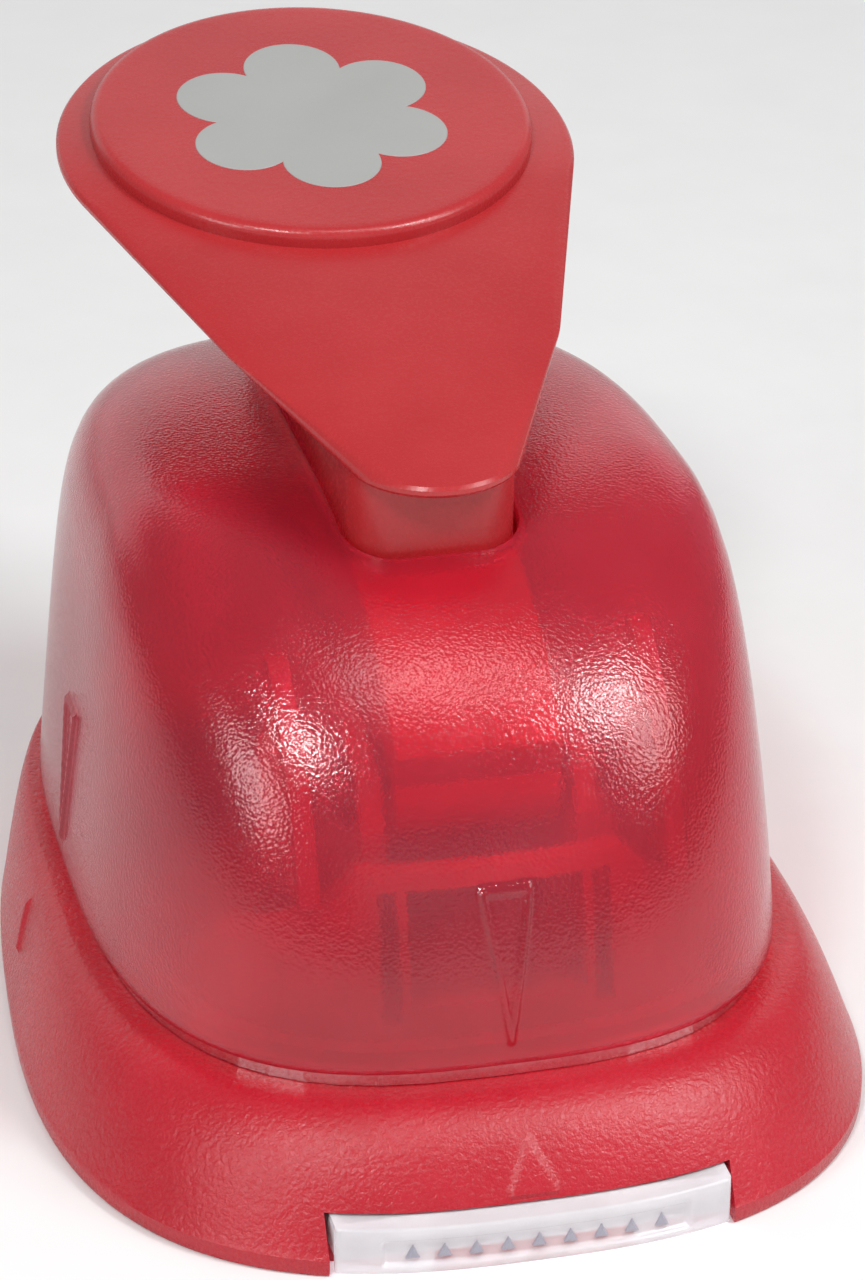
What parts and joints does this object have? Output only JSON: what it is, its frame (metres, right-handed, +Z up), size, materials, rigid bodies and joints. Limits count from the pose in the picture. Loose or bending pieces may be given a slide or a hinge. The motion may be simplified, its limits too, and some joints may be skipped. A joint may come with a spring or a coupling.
{
  "type": "craft punch",
  "caption": "Lever craft punch in two halves: translucent domed upper unit with thumb lever and flower cutter on a skirted base with die plate and chip drawer.",
  "frame": {"origin": "middle of the flat underside of the base", "axes": "+Z up; -Y is the front, where the chip drawer pulls out and the lever is hinged; +X to the right seen from the front"},
  "size_m": [0.0928, 0.1349, 0.0906],
  "materials": {
    "base_red": "moulded ABS, fine spark-eroded grain",
    "cover_red": "moulded ABS, plain",
    "lever_red": "moulded ABS, satin gloss",
    "frame_red": "moulded polycarbonate, satin",
    "housing_red": "translucent red polycarbonate, pebbled skin",
    "clear_plastic": "milky clear polystyrene",
    "grey_print": "flat printed film",
    "roller_nylon": "nylon",
    "carriage_zinc": "die-cast zinc alloy",
    "cutter_steel": "ground tool steel",
    "die_steel": "ground tool steel",
    "chromed_plate": "bright plated steel",
    "magnet": "nickel plated magnet",
    "screw_steel": "zinc plated steel",
    "pin_steel": "ground steel rod",
    "clip_steel": "blued spring steel",
    "spring_steel": "spring wire"
  },
  "bodies": {
    "base": {"base_shell": "base_red", "base_cover": "cover_red", "base_cover_screws": "screw_steel", "die_plate": "die_steel", "die_screws": "screw_steel", "base_magnets": "magnet"},
    "drawer": {"chip_tray": "clear_plastic"},
    "upper_unit": {"housing_shell": "housing_red", "inner_frame": "frame_red", "guide_plate": "chromed_plate", "upper_magnets": "magnet", "housing_screws": "screw_steel", "guide_posts": "pin_steel", "pivot_pin": "pin_steel", "pivot_clips": "clip_steel", "return_springs": "spring_steel"},
    "lever": {"lever_handle": "lever_red", "motif_inlay": "grey_print", "roller_pin": "pin_steel", "press_roller": "roller_nylon"},
    "punch_head": {"punch_carriage": "carriage_zinc", "flower_cutter": "cutter_steel", "cutter_screw": "screw_steel"}
  },
  "joints": [
    {"name": "drawer_slide", "type": "slide", "parent": "base", "child": "drawer", "axis": [0, -1, 0], "range_m": [0, 0.06]},
    {"name": "lift_off", "type": "slide", "parent": "base", "child": "upper_unit", "axis": [0, 0, 1], "range_m": [0, 0.06]},
    {"name": "lever_press", "type": "hinge", "parent": "upper_unit", "child": "lever", "pos_m": [0, -0.032, 0.04], "axis": [-1, 0, 0], "range_deg": [0, 8], "stiffness_Nm_per_rad": 2, "springref_deg": -5.73},
    {"name": "punch_stroke", "type": "slide", "parent": "upper_unit", "child": "punch_head", "axis": [0, 0, -1], "range_m": [0, 0.0045], "deforming": ["return_springs"]}
  ],
  "couplings": [
    {"joint": "punch_stroke", "follows": "lever_press", "m_per_rad": 0.032}
  ]
}
